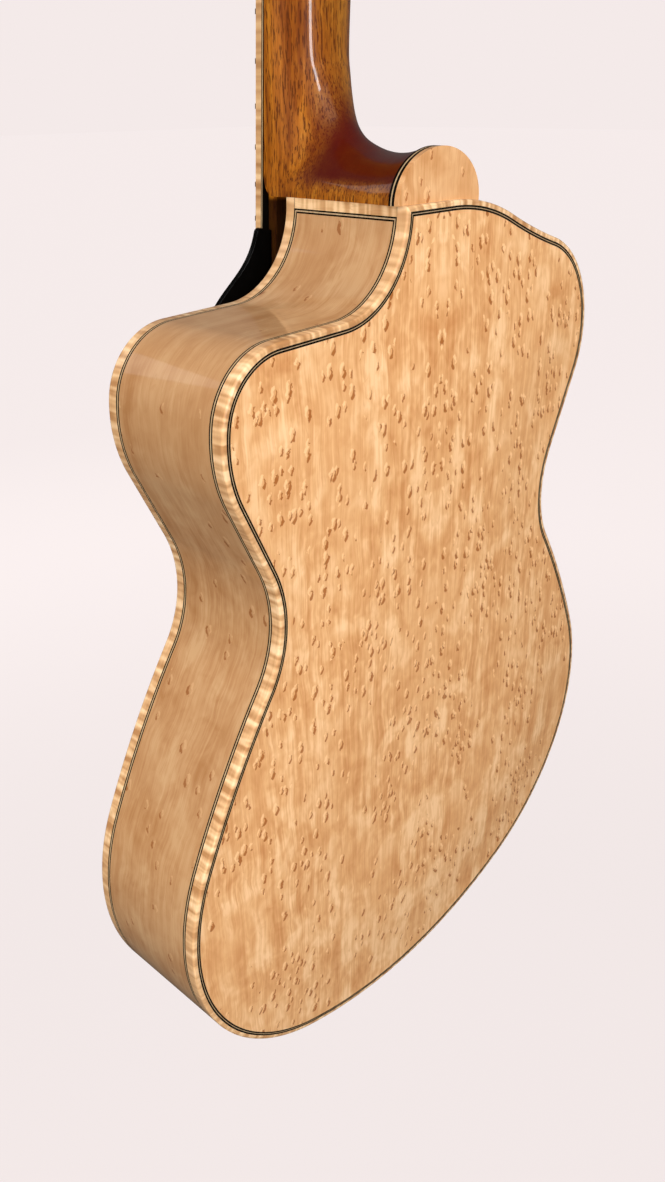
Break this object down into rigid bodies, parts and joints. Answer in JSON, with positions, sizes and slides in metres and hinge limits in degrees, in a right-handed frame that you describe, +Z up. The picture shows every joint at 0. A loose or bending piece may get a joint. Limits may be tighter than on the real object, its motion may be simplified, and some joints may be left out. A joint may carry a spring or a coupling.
{
  "type": "archtop acoustic guitar",
  "caption": "Carved-top acoustic guitar with a rounded cutaway, bound maple body, floating pickguard, adjustable bridge and geared tuners.",
  "frame": {"origin": "on the neck centre line at the nut, on the plane the fingerboard is glued to, where a wall hanger holds the neck", "axes": "+Z up the neck to the headstock, -Y the way the soundboard faces, +X the cutaway (treble) side"},
  "size_m": [0.3726, 0.1244, 1.0421],
  "materials": {
    "birdseye_maple": "gloss lacquer",
    "side_maple": "gloss lacquer",
    "curly_maple": "gloss lacquer",
    "purfling": "black, white and black laminae",
    "spruce": "gloss lacquer",
    "mahogany": "gloss lacquer over reddish stain",
    "lining_wood": "bare",
    "heel_cap_maple": "gloss lacquer",
    "ebony": "polished",
    "black_guard": "polished black",
    "pearl": "pearl",
    "bone": "polished bone",
    "fret_wire": "polished nickel silver",
    "string_wire": "bronze wound and plain steel",
    "steel": "plain",
    "brass": "turned",
    "gold_plate": "gold plated"
  },
  "bodies": {
    "guitar": {"back_bass_half": "birdseye_maple", "back_binding": "curly_maple", "back_lining": "lining_wood", "back_purfling": "purfling", "back_treble_half": "birdseye_maple", "bass_side": "side_maple", "bridge_base": "ebony", "bridge_posts": "steel", "cutaway_end_binding": "curly_maple", "cutaway_end_purfling": "purfling", "end_pin": "ebony", "fingerboard": "ebony", "fingerboard_binding": "curly_maple", "fingerboard_veneer": "purfling", "frets": "fret_wire", "front_binding": "curly_maple", "front_lining": "lining_wood", "front_purfling": "purfling", "headstock_veneer": "ebony", "heel_cap": "heel_cap_maple", "heel_veneers": "purfling", "neck": "mahogany", "neck_block": "mahogany", "nut": "bone", "pickguard": "black_guard", "pickguard_bracket": "gold_plate", "position_inlays": "pearl", "side_purfling": "purfling", "small_screws": "gold_plate", "soundboard_bass_half": "spruce", "soundboard_treble_half": "spruce", "strings": "string_wire", "tail_block": "mahogany", "tail_saddle": "ebony", "tail_wire": "string_wire", "tailpiece": "ebony", "tone_bars": "spruce", "treble_side": "side_maple", "truss_rod": "steel", "truss_rod_cover": "ebony", "tuner_bushings": "gold_plate", "tuner_housings": "gold_plate", "tuner_screws": "gold_plate"},
    "post_1": {"string_post_1": "gold_plate"},
    "post_2": {"string_post_2": "gold_plate"},
    "post_3": {"string_post_3": "gold_plate"},
    "post_4": {"string_post_4": "gold_plate"},
    "post_5": {"string_post_5": "gold_plate"},
    "post_6": {"string_post_6": "gold_plate"},
    "key_1": {"tuner_key_1": "gold_plate"},
    "key_2": {"tuner_key_2": "gold_plate"},
    "key_3": {"tuner_key_3": "gold_plate"},
    "key_4": {"tuner_key_4": "gold_plate"},
    "key_5": {"tuner_key_5": "gold_plate"},
    "key_6": {"tuner_key_6": "gold_plate"},
    "saddle": {"bridge_saddle": "ebony"},
    "wheel_bass": {"bridge_wheel_bass": "gold_plate"},
    "wheel_treble": {"bridge_wheel_treble": "gold_plate"},
    "rod_nut": {"truss_rod_nut": "brass"}
  },
  "joints": [
    {"name": "post_1_turn", "type": "hinge", "parent": "guitar", "child": "post_1", "pos_m": [-0.022, 0.01588, 0.04882], "axis": [0, -0.9553, 0.2957], "continuous": true},
    {"name": "key_1_turn", "type": "hinge", "parent": "guitar", "child": "key_1", "pos_m": [-0.022, 0.03205, 0.03612], "axis": [1, 0, 0], "continuous": true},
    {"name": "post_2_turn", "type": "hinge", "parent": "guitar", "child": "post_2", "pos_m": [-0.0205, 0.02889, 0.09086], "axis": [0, -0.9553, 0.2957], "continuous": true},
    {"name": "key_2_turn", "type": "hinge", "parent": "guitar", "child": "key_2", "pos_m": [-0.0205, 0.04506, 0.07816], "axis": [1, 0, 0], "continuous": true},
    {"name": "post_3_turn", "type": "hinge", "parent": "guitar", "child": "post_3", "pos_m": [-0.019, 0.0419, 0.13289], "axis": [0, -0.9553, 0.2957], "continuous": true},
    {"name": "key_3_turn", "type": "hinge", "parent": "guitar", "child": "key_3", "pos_m": [-0.019, 0.05807, 0.12019], "axis": [1, 0, 0], "continuous": true},
    {"name": "post_4_turn", "type": "hinge", "parent": "guitar", "child": "post_4", "pos_m": [0.019, 0.0419, 0.13289], "axis": [0, -0.9553, 0.2957], "continuous": true},
    {"name": "key_4_turn", "type": "hinge", "parent": "guitar", "child": "key_4", "pos_m": [0.019, 0.05807, 0.12019], "axis": [1, 0, 0], "continuous": true},
    {"name": "post_5_turn", "type": "hinge", "parent": "guitar", "child": "post_5", "pos_m": [0.0205, 0.02889, 0.09086], "axis": [0, -0.9553, 0.2957], "continuous": true},
    {"name": "key_5_turn", "type": "hinge", "parent": "guitar", "child": "key_5", "pos_m": [0.0205, 0.04506, 0.07816], "axis": [1, 0, 0], "continuous": true},
    {"name": "post_6_turn", "type": "hinge", "parent": "guitar", "child": "post_6", "pos_m": [0.022, 0.01588, 0.04882], "axis": [0, -0.9553, 0.2957], "continuous": true},
    {"name": "key_6_turn", "type": "hinge", "parent": "guitar", "child": "key_6", "pos_m": [0.022, 0.03205, 0.03612], "axis": [1, 0, 0], "continuous": true},
    {"name": "saddle_lift", "type": "slide", "parent": "guitar", "child": "saddle", "axis": [0, -1, 0], "range_m": [-0.0015, 0.002], "deforming": ["strings"]},
    {"name": "wheel_bass_turn", "type": "hinge", "parent": "saddle", "child": "wheel_bass", "pos_m": [-0.038, -0.04827, -0.64832], "axis": [0, -1, 0], "range_deg": [-720, 960]},
    {"name": "wheel_treble_turn", "type": "hinge", "parent": "saddle", "child": "wheel_treble", "pos_m": [0.038, -0.04827, -0.64832], "axis": [0, -1, 0], "range_deg": [-720, 960]},
    {"name": "rod_nut_turn", "type": "hinge", "parent": "guitar", "child": "rod_nut", "pos_m": [0, 0.00372, 0.0038], "axis": [0, 0.0558, 0.9984], "range_deg": [-180, 180]}
  ],
  "couplings": [
    {"joint": "post_1_turn", "follows": "key_1_turn", "ratio": -0.0625},
    {"joint": "post_2_turn", "follows": "key_2_turn", "ratio": -0.0625},
    {"joint": "post_3_turn", "follows": "key_3_turn", "ratio": -0.0625},
    {"joint": "post_4_turn", "follows": "key_4_turn", "ratio": -0.0625},
    {"joint": "post_5_turn", "follows": "key_5_turn", "ratio": -0.0625},
    {"joint": "post_6_turn", "follows": "key_6_turn", "ratio": -0.0625},
    {"joint": "wheel_bass_turn", "follows": "saddle_lift", "rad_per_m": 7854},
    {"joint": "wheel_treble_turn", "follows": "saddle_lift", "rad_per_m": 7854}
  ]
}
